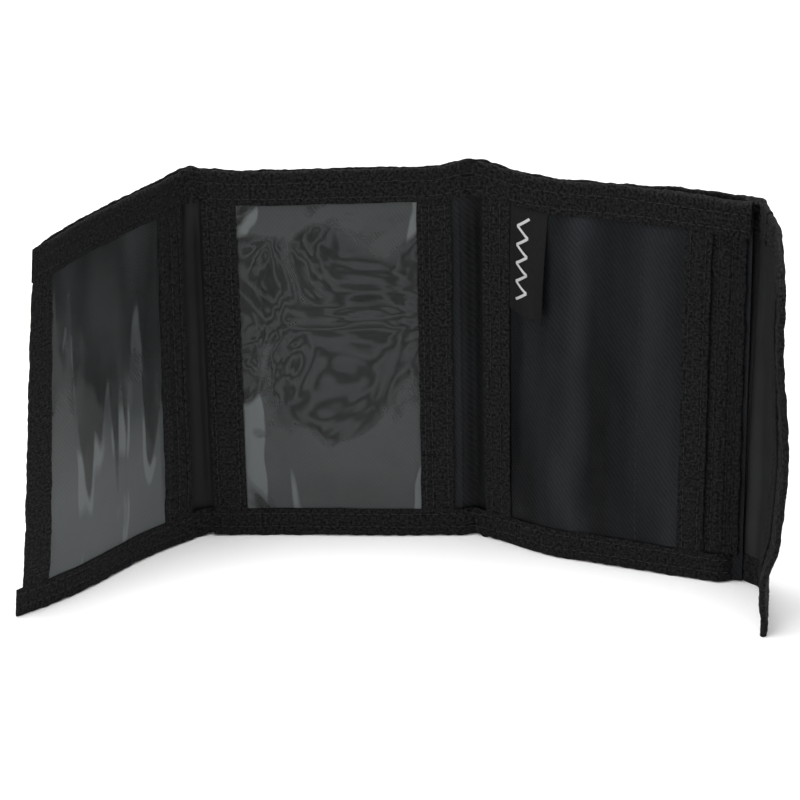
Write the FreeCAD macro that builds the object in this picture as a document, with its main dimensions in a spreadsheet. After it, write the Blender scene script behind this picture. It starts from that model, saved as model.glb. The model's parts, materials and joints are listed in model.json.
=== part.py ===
"""A nylon trifold wallet standing half open on its long edge.

Every piece is drawn as if the wallet lay opened flat along X, with its inside facing -Y and
its long edges horizontal. The piece is then turned about the fold lines to where it rests.
Depths are counted from the outer face of the shell cloth towards the inside of the wallet.
"""

import FreeCAD, Part
import os
import Sketcher

V = FreeCAD.Vector

# alias, millimetres (or degrees), meaning
DRIVING_SIZES = [
    ("height", 125.0, "bottom edge to top edge"),
    ("centre_width", 79.0, "centre panel between its two soft folds"),
    ("left_width", 69.5, "left panel, soft fold to free edge"),
    ("right_width", 85.0, "right panel, soft fold to flap fold"),
    ("panel_fold", 6.0, "width of the soft strip between two panels, opened flat"),
    ("flap_fold", 3.0, "width of each soft strip of the flap"),
    ("flap_side_width", 14.0, "part of the flap that covers the side of the closed wallet"),
    ("flap_tip_width", 22.0, "part of the flap that closes on the back"),
    ("shell_cloth", 0.6, "outer shell cloth"),
    ("bill_gap", 1.6, "note compartment between shell and lining"),
    ("lining_cloth", 0.4, "lining cloth"),
    ("card_gap", 0.6, "room for one card"),
    ("pocket_cloth", 0.3, "pocket cloth and clear window sheet"),
    ("tape", 0.5, "binding tape, one layer"),
    ("fine_tape", 0.3, "tape folded over a pocket mouth, one layer"),
    ("top_tape_width", 11.0, "binding along the top edges"),
    ("bottom_tape_width", 9.5, "binding along the bottom edge"),
    ("edge_tape_width", 9.0, "binding down the left panel's free edge"),
    ("flap_tape_width", 9.0, "binding down the flap's free edge"),
    ("inner_tape_width", 10.6, "tapes beside the windows and pockets"),
    ("fold_tape_width", 9.0, "tape that sews the card pockets down beside the fold"),
    ("mouth_tape_width", 8.6, "tape on the front card pocket's mouth"),
    ("window_width", 55.4, "clear window between its tapes"),
    ("tape_hold", 3.0, "length of a sheet held under its tape"),
    ("front_pocket_width", 73.2, "front card pocket with its mouth tape"),
    ("back_pocket_width", 83.8, "back card pocket with its mouth tape"),
    ("label_width", 12.0, "woven label"),
    ("label_length", 34.0, "woven label"),
    ("label_from_tape", 0.3, "label to the pocket's fold tape"),
    ("closure_width", 10.0, "hook and loop strips"),
    ("closure_length", 90.0, "hook and loop strips"),
    ("closure_thick", 1.0, "hook and loop strips, one of them"),
    ("seam_clearance", 0.25, "between a soft strip and the panels beside it"),
    ("left_axis_front", 0.5, "left fold line in front of the panels' inside"),
    ("right_axis_front", 3.5, "right fold line, so that it clears the folded left panel"),
    ("left_rest", 52.5, "degrees that the left panel is folded in"),
    ("right_rest", 19.0, "degrees that the right panel is folded in"),
    ("flap_rest", 60.0, "degrees that the flap is turned from the right panel"),
    ("tip_rest", 12.5, "degrees that the flap's tip is turned from its side"),
]


class Size:
    """A length that carries its value and the sheet formula that gives it."""

    def __init__(self, value, formula):
        self.value = value
        self.formula = formula

    def __neg__(self):
        return Size(-self.value, f"-({self.formula})")

    def __add__(self, other):
        other = as_size(other)
        return Size(self.value + other.value, f"{self.formula} + {other.formula}")

    def __sub__(self, other):
        other = as_size(other)
        return Size(self.value - other.value, f"{self.formula} - ({other.formula})")

    def __truediv__(self, number):
        return Size(self.value / number, f"({self.formula}) / {number}")


def as_size(number):
    return number if isinstance(number, Size) else Size(float(number), str(number))


def make_sheet(doc):
    """The driving dimensions as a spreadsheet, and as Size values by name."""
    sheet = doc.addObject("Spreadsheet::Sheet", "dims")
    for row, (alias, value, meaning) in enumerate(DRIVING_SIZES, start=1):
        sheet.set(f"A{row}", meaning)
        sheet.set(f"B{row}", str(value))
        sheet.setAlias(f"B{row}", alias)
    doc.recompute()
    return {alias: Size(value, f"dims.{alias}") for alias, value, _ in DRIVING_SIZES}


doc = FreeCAD.newDocument("trifold_wallet")
dim = make_sheet(doc)
ZERO = Size(0.0, "0")
HEIGHT = dim["height"]
TAPE = dim["tape"]
FINE = dim["fine_tape"]

# depths of the layers, from the shell's outer face towards the inside
SHELL_FRONT = dim["shell_cloth"]
LINING_BACK = SHELL_FRONT + dim["bill_gap"]
LINING_FRONT = LINING_BACK + dim["lining_cloth"]
INNER_BACK = LINING_FRONT + dim["card_gap"]
INNER_FRONT = INNER_BACK + dim["pocket_cloth"]
FACE_BACK = INNER_FRONT + dim["card_gap"]
FACE_FRONT = FACE_BACK + dim["pocket_cloth"]
BINDING_FRONT = FACE_FRONT + TAPE
FLAP_LINING_FRONT = SHELL_FRONT + dim["lining_cloth"]
FLAP_BINDING_FRONT = FLAP_LINING_FRONT + TAPE
MIDDLE = FACE_FRONT / 2

# stations along X, opened flat
CENTRE_RIGHT = dim["centre_width"] / 2
CENTRE_LEFT = -CENTRE_RIGHT
LEFT_FOLD_X = CENTRE_LEFT - dim["panel_fold"] / 2
LEFT_START = CENTRE_LEFT - dim["panel_fold"]
LEFT_END = LEFT_START - dim["left_width"]
RIGHT_FOLD_X = CENTRE_RIGHT + dim["panel_fold"] / 2
RIGHT_START = CENTRE_RIGHT + dim["panel_fold"]
RIGHT_END = RIGHT_START + dim["right_width"]
FLAP_FOLD_X = RIGHT_END + dim["flap_fold"] / 2
SIDE_START = RIGHT_END + dim["flap_fold"]
SIDE_END = SIDE_START + dim["flap_side_width"]
TIP_FOLD_X = SIDE_END + dim["flap_fold"] / 2
TIP_START = SIDE_END + dim["flap_fold"]
TIP_END = TIP_START + dim["flap_tip_width"]

# heights of the cloth inside the bindings
CLOTH_LOW = TAPE
CLOTH_HIGH = HEIGHT - TAPE
INSIDE_LOW = dim["bottom_tape_width"]
INSIDE_HIGH = HEIGHT - dim["top_tape_width"]


class Fold:
    """A vertical fold line: where it is when flat, and what it turns at rest."""

    def __init__(self, x, depth, half_width, angle, turns, parent):
        self.centre = V(x.value, MIDDLE.value - depth.value, 0)
        self.half_width = half_width.value
        self.angle = angle.value * turns
        self.child_side = -turns
        self.parent = parent

    def turned(self, share=1.0):
        """The placement of what lies this share of the way through the fold."""
        own = FreeCAD.Placement(V(), FreeCAD.Rotation(V(0, 0, 1), self.angle * share), self.centre)
        return self.parent.multiply(own)


AT_HOME = FreeCAD.Placement()
LEFT_FOLD = Fold(
    LEFT_FOLD_X,
    BINDING_FRONT + dim["left_axis_front"],
    dim["panel_fold"] / 2,
    dim["left_rest"],
    1,
    AT_HOME,
)
RIGHT_FOLD = Fold(
    RIGHT_FOLD_X,
    BINDING_FRONT + dim["right_axis_front"],
    dim["panel_fold"] / 2,
    dim["right_rest"],
    -1,
    AT_HOME,
)
FLAP_FOLD = Fold(
    FLAP_FOLD_X,
    FLAP_BINDING_FRONT,
    dim["flap_fold"] / 2,
    dim["flap_rest"],
    -1,
    RIGHT_FOLD.turned(),
)
TIP_FOLD = Fold(
    TIP_FOLD_X,
    FLAP_BINDING_FRONT,
    dim["flap_fold"] / 2,
    dim["tip_rest"],
    -1,
    FLAP_FOLD.turned(),
)
ON_LEFT = LEFT_FOLD.turned()
ON_RIGHT = RIGHT_FOLD.turned()
ON_SIDE = FLAP_FOLD.turned()
ON_TIP = TIP_FOLD.turned()

pieces = []


def origin_plane(body, role):
    return next(f for f in body.Origin.OriginFeatures if f.Role == role)


def draw_outline(body, role, corners, offset):
    """A closed sketch of straight lines whose corners follow the sheet."""
    sketch = body.newObject("Sketcher::SketchObject", body.Name + "_outline")
    sketch.AttachmentSupport = [(origin_plane(body, role), "")]
    sketch.MapMode = "FlatFace"
    sketch.setExpression(".AttachmentOffset.Base.z", offset.formula)
    points = [V(x.value, y.value, 0) for x, y in corners]
    count = len(points)
    for i, start in enumerate(points):
        sketch.addGeometry(Part.LineSegment(start, points[(i + 1) % count]), False)
    for i in range(count):
        sketch.addConstraint(Sketcher.Constraint("Coincident", i, 2, (i + 1) % count, 1))
    for i, (x, y) in enumerate(corners):
        for kind, size in (("DistanceX", x), ("DistanceY", y)):
            rule = Sketcher.Constraint(kind, -1, 1, i, 1, size.value)
            index = sketch.addConstraint(rule)
            name = f"corner_{i}_{kind[-1].lower()}"
            sketch.renameConstraint(index, name)
            sketch.setExpression("Constraints." + name, size.formula)
    return sketch


def pad_piece(label, role, corners, offset, length, where):
    """One piece of even thickness, padded from a sketch and put in its place."""
    body = doc.addObject("PartDesign::Body", label)
    body.Label = label
    pad = body.newObject("PartDesign::Pad", label + "_pad")
    pad.Profile = draw_outline(body, role, corners, offset)
    pad.setExpression("Length", length.formula)
    body.Placement = where
    pieces.append(body)


def sheet_piece(label, x_span, z_span, depth_span, where):
    """A flat piece of cloth or film, given by its spans in x, z and depth."""
    (left, right), (low, high), (back, front) = x_span, z_span, depth_span
    corners = [(left, low), (right, low), (right, high), (left, high)]
    pad_piece(label, "XZ_Plane", corners, back - MIDDLE, front - back, where)


def channel(closed, legs_end, low_side, high_side, thick):
    """Corners of a folded tape: closed at one end, with a leg along each side."""
    inner = closed + (thick if legs_end.value > closed.value else -thick)
    return [
        (low_side, closed),
        (high_side, closed),
        (high_side, legs_end),
        (high_side - thick, legs_end),
        (high_side - thick, inner),
        (low_side + thick, inner),
        (low_side + thick, legs_end),
        (low_side, legs_end),
    ]


def depth_to_y(depth_span):
    """The two Y values of a depth span, lower one first."""
    back, front = depth_span
    return MIDDLE - front, MIDDLE - back


def level_binding(label, x_span, closed, legs_end, depth_span, where):
    """Tape folded over a long edge. Depths are those of the tape's outer faces."""
    low_side, high_side = depth_to_y(depth_span)
    corners = channel(closed, legs_end, low_side, high_side, TAPE)
    pad_piece(label, "YZ_Plane", corners, x_span[0], x_span[1] - x_span[0], where)


def upright_binding(label, z_span, closed, legs_end, depth_span, thick, where):
    """Tape folded over an upright edge."""
    low_side, high_side = depth_to_y(depth_span)
    corners = [(x, y) for y, x in channel(closed, legs_end, low_side, high_side, thick)]
    pad_piece(label, "XY_Plane", corners, z_span[0], z_span[1] - z_span[0], where)


def bent_strip(fold, depth_span, z_span):
    """A strip that follows a fold: two arcs in plan, padded upwards."""
    reach = fold.half_width - dim["seam_clearance"].value
    at_child, at_middle = fold.turned(), fold.turned(0.5)
    edges = []
    for depth in depth_span:
        y = MIDDLE.value - depth.value
        start = fold.parent.multVec(V(fold.centre.x - fold.child_side * reach, y, z_span[0].value))
        middle = at_middle.multVec(V(fold.centre.x, y, z_span[0].value))
        end = at_child.multVec(V(fold.centre.x + fold.child_side * reach, y, z_span[0].value))
        edges.append((start, middle, end))
    (a, b, c), (d, e, f) = edges
    wire = Part.Wire(
        [
            Part.Arc(a, b, c).toShape(),
            Part.makeLine(c, f),
            Part.Arc(f, e, d).toShape(),
            Part.makeLine(d, a),
        ]
    )
    return Part.Face(wire).extrude(V(0, 0, (z_span[1] - z_span[0]).value))


def soft_piece(label, shape):
    """A strip that bends with a fold, set straight from its computed shape."""
    feature = doc.addObject("Part::Feature", label)
    feature.Label = label
    feature.Shape = shape
    feature.Placement = AT_HOME
    pieces.append(feature)


def bent_binding(fold, depth_span, closed, legs_end):
    """The folded tape where it crosses a fold."""
    back, front = depth_span
    inner = closed + (TAPE if legs_end.value > closed.value else -TAPE)
    web = (closed, inner) if inner.value > closed.value else (inner, closed)
    legs = (inner, legs_end) if legs_end.value > inner.value else (legs_end, inner)
    parts = [
        bent_strip(fold, (back, front), web),
        bent_strip(fold, (back, back + TAPE), legs),
        bent_strip(fold, (front - TAPE, front), legs),
    ]
    return parts[0].fuse(parts[1:]).removeSplitter()


BACK_TOP_DEPTHS = (-TAPE, SHELL_FRONT + TAPE)
FRONT_TOP_DEPTHS = (LINING_BACK - TAPE, BINDING_FRONT)
BOTTOM_DEPTHS = (-TAPE, BINDING_FRONT)
FLAP_DEPTHS = (-TAPE, FLAP_BINDING_FRONT)
SHELL_DEPTHS = (ZERO, SHELL_FRONT)
LINING_DEPTHS = (LINING_BACK, LINING_FRONT)
FLAP_LINING_DEPTHS = (SHELL_FRONT, FLAP_LINING_FRONT)
INNER_DEPTHS = (INNER_BACK, INNER_FRONT)
FACE_DEPTHS = (FACE_BACK, FACE_FRONT)
CLOTH_SPAN = (CLOTH_LOW, CLOTH_HIGH)
INSIDE_SPAN = (INSIDE_LOW, INSIDE_HIGH)
FULL_SPAN = (ZERO, HEIGHT)


def make_panel(name, x_span, trim_span, where):
    """Shell, lining and the three long bindings of one panel.

    trim_span is the stretch that the bindings cover, which stops short of an edge binding.
    """
    sheet_piece(f"outer_shell_{name}", x_span, CLOTH_SPAN, SHELL_DEPTHS, where)
    sheet_piece(f"lining_{name}", x_span, CLOTH_SPAN, LINING_DEPTHS, where)
    level_binding(f"back_top_binding_{name}", trim_span, HEIGHT, INSIDE_HIGH, BACK_TOP_DEPTHS, where)
    level_binding(f"front_top_binding_{name}", trim_span, HEIGHT, INSIDE_HIGH, FRONT_TOP_DEPTHS, where)
    level_binding(f"bottom_binding_{name}", trim_span, ZERO, INSIDE_LOW, BOTTOM_DEPTHS, where)


def make_panel_fold(name, fold):
    """The soft strips of one fold between two panels."""
    soft_piece(f"shell_fold_{name}", bent_strip(fold, SHELL_DEPTHS, CLOTH_SPAN))
    soft_piece(f"lining_fold_{name}", bent_strip(fold, LINING_DEPTHS, CLOTH_SPAN))
    soft_piece(f"back_top_binding_fold_{name}", bent_binding(fold, BACK_TOP_DEPTHS, HEIGHT, INSIDE_HIGH))
    soft_piece(f"front_top_binding_fold_{name}", bent_binding(fold, FRONT_TOP_DEPTHS, HEIGHT, INSIDE_HIGH))
    soft_piece(f"bottom_binding_fold_{name}", bent_binding(fold, BOTTOM_DEPTHS, ZERO, INSIDE_LOW))


def make_flap_part(name, x_span, trim_span, where):
    """Shell, lining and long bindings of one part of the closure flap."""
    sheet_piece(f"outer_shell_{name}", x_span, CLOTH_SPAN, SHELL_DEPTHS, where)
    sheet_piece(f"lining_{name}", x_span, CLOTH_SPAN, FLAP_LINING_DEPTHS, where)
    level_binding(f"top_binding_{name}", trim_span, HEIGHT, INSIDE_HIGH, FLAP_DEPTHS, where)
    level_binding(f"bottom_binding_{name}", trim_span, ZERO, INSIDE_LOW, FLAP_DEPTHS, where)


def make_flap_fold(name, fold):
    soft_piece(f"shell_fold_{name}", bent_strip(fold, SHELL_DEPTHS, CLOTH_SPAN))
    soft_piece(f"lining_fold_{name}", bent_strip(fold, FLAP_LINING_DEPTHS, CLOTH_SPAN))
    soft_piece(f"top_binding_fold_{name}", bent_binding(fold, FLAP_DEPTHS, HEIGHT, INSIDE_HIGH))
    soft_piece(f"bottom_binding_fold_{name}", bent_binding(fold, FLAP_DEPTHS, ZERO, INSIDE_LOW))


def make_centre_panel():
    make_panel("centre", (CENTRE_LEFT, CENTRE_RIGHT), (CENTRE_LEFT, CENTRE_RIGHT), AT_HOME)
    window_left = CENTRE_LEFT + dim["inner_tape_width"]
    window_right = window_left + dim["window_width"]
    mouth = window_right + dim["inner_tape_width"]
    hold = dim["tape_hold"]
    sheet_piece("slip_pocket_centre", (CENTRE_LEFT, CENTRE_RIGHT), INSIDE_SPAN, INNER_DEPTHS, AT_HOME)
    sheet_piece("window_centre", (window_left - hold, mouth - FINE), INSIDE_SPAN, FACE_DEPTHS, AT_HOME)
    tape_depths = (FACE_FRONT, BINDING_FRONT)
    sheet_piece("window_fold_tape_centre", (CENTRE_LEFT, window_left), INSIDE_SPAN, tape_depths, AT_HOME)
    mouth_depths = (FACE_BACK - FINE, FACE_FRONT + FINE)
    upright_binding(
        "window_mouth_tape_centre", INSIDE_SPAN, mouth, window_right, mouth_depths, FINE, AT_HOME
    )
    closure_low = (HEIGHT - dim["closure_length"]) / 2
    closure_span = (closure_low, closure_low + dim["closure_length"])
    hook_left = CENTRE_LEFT + dim["closure_width"] / 2
    hook_span = (hook_left, hook_left + dim["closure_width"])
    sheet_piece("closure_hook_strip", hook_span, closure_span, (-dim["closure_thick"], ZERO), AT_HOME)


def make_left_panel():
    inner_edge = LEFT_END + dim["edge_tape_width"]
    make_panel("left", (LEFT_END + TAPE, LEFT_START), (inner_edge, LEFT_START), ON_LEFT)
    upright_binding("edge_binding_left", FULL_SPAN, LEFT_END, inner_edge, BOTTOM_DEPTHS, TAPE, ON_LEFT)
    mouth = LEFT_START
    tape_end = mouth - dim["inner_tape_width"]
    sheet_piece("window_left", (LEFT_END + TAPE, mouth - FINE), INSIDE_SPAN, FACE_DEPTHS, ON_LEFT)
    mouth_depths = (FACE_BACK - FINE, FACE_FRONT + FINE)
    upright_binding("window_mouth_tape_left", INSIDE_SPAN, mouth, tape_end, mouth_depths, FINE, ON_LEFT)


def make_right_panel():
    make_panel("right", (RIGHT_START, RIGHT_END), (RIGHT_START, RIGHT_END), ON_RIGHT)
    fold_tape_end = RIGHT_START + dim["fold_tape_width"]
    front_mouth = RIGHT_START + dim["front_pocket_width"]
    back_mouth = RIGHT_START + dim["back_pocket_width"]
    back_tape = back_mouth - dim["inner_tape_width"]
    front_tape = front_mouth - dim["mouth_tape_width"]
    sheet_piece("card_pocket_back", (RIGHT_START, back_mouth - FINE), INSIDE_SPAN, INNER_DEPTHS, ON_RIGHT)
    sheet_piece("card_pocket_front", (RIGHT_START, front_mouth - FINE), INSIDE_SPAN, FACE_DEPTHS, ON_RIGHT)
    tape_depths = (FACE_FRONT, BINDING_FRONT)
    sheet_piece("pocket_fold_tape", (RIGHT_START, fold_tape_end), INSIDE_SPAN, tape_depths, ON_RIGHT)
    back_depths = (INNER_BACK - FINE, INNER_FRONT + FINE)
    upright_binding("pocket_tape_back", INSIDE_SPAN, back_mouth, back_tape, back_depths, FINE, ON_RIGHT)
    front_depths = (FACE_BACK - FINE, FACE_FRONT + FINE)
    upright_binding("pocket_tape_front", INSIDE_SPAN, front_mouth, front_tape, front_depths, FINE, ON_RIGHT)
    label_left = fold_tape_end + dim["label_from_tape"]
    label_span = (label_left, label_left + dim["label_width"])
    label_heights = (INSIDE_HIGH - dim["label_length"], INSIDE_HIGH)
    sheet_piece("woven_label", label_span, label_heights, tape_depths, ON_RIGHT)


def make_closure_flap():
    make_flap_part("flap_side", (SIDE_START, SIDE_END), (SIDE_START, SIDE_END), ON_SIDE)
    inner_edge = TIP_END - dim["flap_tape_width"]
    make_flap_part("flap_tip", (TIP_START, TIP_END - TAPE), (TIP_START, inner_edge), ON_TIP)
    upright_binding("edge_binding_flap_tip", FULL_SPAN, TIP_END, inner_edge, FLAP_DEPTHS, TAPE, ON_TIP)
    closure_low = (HEIGHT - dim["closure_length"]) / 2
    closure_span = (closure_low, closure_low + dim["closure_length"])
    loop_span = (inner_edge - dim["closure_width"], inner_edge)
    loop_depths = (FLAP_LINING_FRONT, FLAP_LINING_FRONT + dim["closure_thick"])
    sheet_piece("closure_loop_strip", loop_span, closure_span, loop_depths, ON_TIP)


def check(objects):
    """Stops the script if an object failed or a piece has no sound shape."""
    for item in objects:
        if any(word in item.State for word in ("Invalid", "Error")):
            raise RuntimeError(f"{item.Label} has state {item.State}")
    for piece in pieces:
        if piece.Shape.isNull() or not piece.Shape.isValid():
            raise RuntimeError(f"{piece.Label} has no sound shape")


def write_pieces():
    os.makedirs("parts", exist_ok=True)
    for piece in pieces:
        piece.Shape.exportStep(f"parts/{piece.Label}.step")


make_centre_panel()
make_left_panel()
make_right_panel()
make_closure_flap()
make_panel_fold("left", LEFT_FOLD)
make_panel_fold("right", RIGHT_FOLD)
make_flap_fold("flap_side", FLAP_FOLD)
make_flap_fold("flap_tip", TIP_FOLD)
doc.recompute()
check(doc.Objects)
write_pieces()
for name, fold in (("left", LEFT_FOLD), ("right", RIGHT_FOLD), ("flap", FLAP_FOLD), ("tip", TIP_FOLD)):
    axis = fold.parent.multVec(fold.centre)
    print(f"{name} fold line at x {axis.x:.3f}, y {axis.y:.3f}")
print(f"wrote {len(pieces)} pieces")
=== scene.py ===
"""Looks of the trifold wallet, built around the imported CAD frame.

Lengths are in metres. Only the materials count in millimetres, along the cloth.
"""

import json
import math
from collections import namedtuple

import bpy
import numpy as np
from mathutils import Matrix, Vector

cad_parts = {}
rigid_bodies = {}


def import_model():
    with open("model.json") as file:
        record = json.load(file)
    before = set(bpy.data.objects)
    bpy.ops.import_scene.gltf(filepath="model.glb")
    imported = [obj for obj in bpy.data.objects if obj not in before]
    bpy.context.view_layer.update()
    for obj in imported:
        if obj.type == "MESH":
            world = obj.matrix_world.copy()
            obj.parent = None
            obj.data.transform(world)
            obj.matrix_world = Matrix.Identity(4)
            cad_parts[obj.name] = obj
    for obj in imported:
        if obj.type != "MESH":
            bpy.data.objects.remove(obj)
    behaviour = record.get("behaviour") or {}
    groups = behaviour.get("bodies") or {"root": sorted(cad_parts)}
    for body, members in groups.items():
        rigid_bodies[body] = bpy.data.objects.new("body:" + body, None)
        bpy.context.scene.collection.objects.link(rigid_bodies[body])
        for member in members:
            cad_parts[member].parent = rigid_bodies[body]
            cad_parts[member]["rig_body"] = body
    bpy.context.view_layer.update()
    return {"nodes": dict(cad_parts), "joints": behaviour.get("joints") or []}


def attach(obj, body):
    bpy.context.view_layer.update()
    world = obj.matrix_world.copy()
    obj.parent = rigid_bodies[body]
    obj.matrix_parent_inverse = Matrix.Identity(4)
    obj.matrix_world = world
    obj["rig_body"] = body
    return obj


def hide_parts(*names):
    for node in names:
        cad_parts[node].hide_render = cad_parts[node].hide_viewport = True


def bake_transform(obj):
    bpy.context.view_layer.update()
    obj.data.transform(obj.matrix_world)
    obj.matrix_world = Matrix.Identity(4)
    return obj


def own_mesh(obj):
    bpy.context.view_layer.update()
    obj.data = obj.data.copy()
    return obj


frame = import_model()

MM = 0.001

# ---- camera

scene = bpy.context.scene
CAMERA_ANGLES = 24.88, -2.46, -1.19  # elevation, azimuth and roll, in degrees
CAMERA_DISTANCE, CAMERA_TARGET = 1.1837, Vector((0.0202, 0.0, 0.0469))
LENS_MM, SENSOR_MM = 170.0, 36.0


def put_in_scene(name, data):
    made = bpy.data.objects.new(name, data)
    scene.collection.objects.link(made)
    return made


def make_camera():
    elevation, azimuth, roll = (math.radians(angle) for angle in CAMERA_ANGLES)
    level = math.cos(elevation)
    forward = Vector((math.sin(azimuth) * level, math.cos(azimuth) * level, -math.sin(elevation)))
    right = Vector((math.cos(azimuth), -math.sin(azimuth), 0))
    up = right.cross(forward)
    cos, sin = math.cos(roll), math.sin(roll)
    right, up = right * cos + up * sin, up * cos - right * sin
    data = bpy.data.cameras.new("camera")
    data.lens, data.sensor_width = LENS_MM, SENSOR_MM
    data.clip_start, data.clip_end = 0.05, 20
    camera = put_in_scene("camera", data)
    axes = Matrix((right, up, -forward)).transposed().to_4x4()
    camera.matrix_world = Matrix.Translation(CAMERA_TARGET - forward * CAMERA_DISTANCE) @ axes
    scene.camera = camera


make_camera()

# ---- the flat layout, read from the CAD

JOINTS = {j["name"]: j for j in frame["joints"]}
CHAINS = {
    "centre_panel": (),
    "left_panel": ("left_fold",),
    "right_panel": ("right_fold",),
    "flap_side": ("flap_fold", "right_fold"),
    "flap_tip": ("flap_tip_fold", "flap_fold", "right_fold"),
}
Span = namedtuple("Span", "u0 u1 d0 d1 z0 z1")
Fold = namedtuple("Fold", "u y half angle")


def opened(points, body):
    """Points of a body with every fold on its chain opened out flat."""
    points = np.array(points, float)
    for name in CHAINS[body]:
        joint = JOINTS[name]
        angle = math.radians(joint["range_deg"][0]) * joint["axis"][2]
        x, y = points[..., 0] - joint["pos_m"][0], points[..., 1] - joint["pos_m"][1]
        points[..., 0] = joint["pos_m"][0] + x * math.cos(angle) - y * math.sin(angle)
        points[..., 1] = joint["pos_m"][1] + x * math.sin(angle) + y * math.cos(angle)
    return points


def flat_corners(node):
    piece = frame["nodes"][node]
    points = opened([v.co for v in piece.data.vertices], piece["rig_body"])
    return points.min(0), points.max(0)


Y_BACK = flat_corners("outer_shell_centre")[1][1]


def span(node):
    """Where a CAD node lies, laid flat: u along the wallet, d in from the shell's outside, z up."""
    low, high = flat_corners(node)
    return Span(low[0], high[0], Y_BACK - high[1], Y_BACK - low[1], low[2], high[2])


def fold(joint_name, before, after):
    joint = JOINTS[joint_name]
    axis = opened([joint["pos_m"]], joint["parent"])[0]
    half = (span(after).u0 - span(before).u1) / 2
    return Fold(axis[0], axis[1], half, -math.radians(joint["range_deg"][0]))


LEFT = fold("left_fold", "outer_shell_left", "outer_shell_centre")
RIGHT = fold("right_fold", "outer_shell_centre", "outer_shell_right")
SIDE = fold("flap_fold", "outer_shell_right", "outer_shell_flap_side")
TIP = fold("flap_tip_fold", "outer_shell_flap_side", "outer_shell_flap_tip")
HEIGHT = span("front_top_binding_centre").z1
LEFT_END, FLAP_END = span("edge_binding_left").u0, span("edge_binding_flap_tip").u1
LEFT_LENGTH, RIGHT_LENGTH = LEFT.u - LEFT_END, SIDE.u - RIGHT.u
SIDE_MIDDLE = (SIDE.u + TIP.u) / 2

# ---- how the cloth lies


def ease(t):
    t = np.clip(t, 0, 1)
    return t * t * (3 - 2 * t)


def bump(x, middle, width):
    return np.exp(-(((x - middle) / width) ** 2))


# How much the left panel turns in at its top, at its foot, and in the foot's ripple.
TOP_CURL, FOOT_LEAN, FOOT_RIPPLE = math.radians(10), math.radians(6.3), math.radians(7)


def drape(u, z):
    """How far the whole stack of layers stands in, towards the wallet's inside."""
    up = z / HEIGHT
    s = np.clip(LEFT.u - u, 0, None)
    top = TOP_CURL * s**2 / (2 * LEFT_LENGTH)
    ripple = LEFT_LENGTH / (2 * np.pi) * np.sin(2 * np.pi * s / LEFT_LENGTH)
    bottom = -FOOT_LEAN * s - FOOT_RIPPLE * ripple
    left = bottom + (top - bottom) * up
    # The right panel, in millimetres: its top swells and then hollows, and its foot stands in.
    s = np.clip(u - RIGHT.u, 0, RIGHT_LENGTH) / MM
    top = 0.6 * bump(s, 24, 12) - 2.2 * bump(s, 50, 24)
    bottom = 6.2 * (ease(s / 30) - 0.35 * ease((s - 78) / 10))
    before_flap = 1 - ease((u - SIDE.u - SIDE.half) / (7 * MM))
    right = (bottom + (top - bottom) * up) * MM * before_flap
    middle = 0.5 * MM * np.sin(u / MM / 13) * np.sin(z / MM / 21 + 1)
    return left + right + middle * bump(u, 0, 50 * MM) + flap_drape(u, z)


def flap_drape(u, z):
    """The flap hollows at mid-height, and its foot and top turn."""
    s = np.clip((u - SIDE.u) / (FLAP_END - SIDE.u), 0, 1)
    h = z / MM
    foot = 3.0 * ease((30 - h) / 14) - 1.0 * ease((12 - h) / 8)
    lean = -3.5 * bump(h, 58, 30) + foot - 1.6 * ease((h - 84) / 36)
    return s**1.5 * lean * MM


def gape(u, d, z):
    """How far the back leaf stands off where the note pocket in front of it opens."""
    back = ease((1.7 * MM - d) / (0.4 * MM))
    along = ease((u - 94 * MM) / (22 * MM)) * (1 - ease((u - SIDE.u + 4 * MM) / (6 * MM)))
    return 1.8 * MM * back * along * ease((z - 50 * MM) / (70 * MM))


# The depth that the stack is drawn towards where it is sewn thin, and the share of the way it goes.
SQUEEZE_TO = 4.4 * MM
LEFT_SQUEEZE, TOP_SQUEEZE, FOOT_SQUEEZE = 0.72, 0.52, 0.40


def squeeze(u, d, z):
    """The depth of a layer where the stack is sewn thin: at its left edge, its top and its foot."""
    panels = 1 - ease((u - SIDE.u + 12 * MM) / (8 * MM))
    left = LEFT_SQUEEZE * (1 - ease((u - LEFT_END - MM) / (12 * MM)))
    top = TOP_SQUEEZE * ease((z - HEIGHT + 24 * MM) / (14 * MM))
    top = top * (1 - 0.6 * ease((u - 85 * MM) / (20 * MM)))
    foot = FOOT_SQUEEZE * (1 - ease((z - 9 * MM) / (14 * MM)))
    d = SQUEEZE_TO - (SQUEEZE_TO - d) * (1 - panels * (1 - (1 - left) * (1 - top)))
    middle = SQUEEZE_TO / 2
    return middle - (middle - d) * (1 - panels * foot)


def lift(u, z):
    """How far the cloth rides up, most at the tops of the two main folds."""
    up = np.clip(z / HEIGHT, 0, 1) ** 2
    wide = np.where(u > RIGHT.u, 14 * MM, 7 * MM)
    peaks = 1.0 * bump(u, LEFT.u, 8 * MM) + 2.6 * bump(u, RIGHT.u, wide)
    return MM * up * (peaks + 0.6 * np.sin(u / MM / 17) * bump(u, 0, 90 * MM))


def hinge(x, y, at, angle):
    """x and y turned about a fold."""
    dx, dy = x - at.u, y - at.y
    c, s = np.cos(angle), np.sin(angle)
    return at.u + dx * c - dy * s, at.y + dx * s + dy * c


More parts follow.
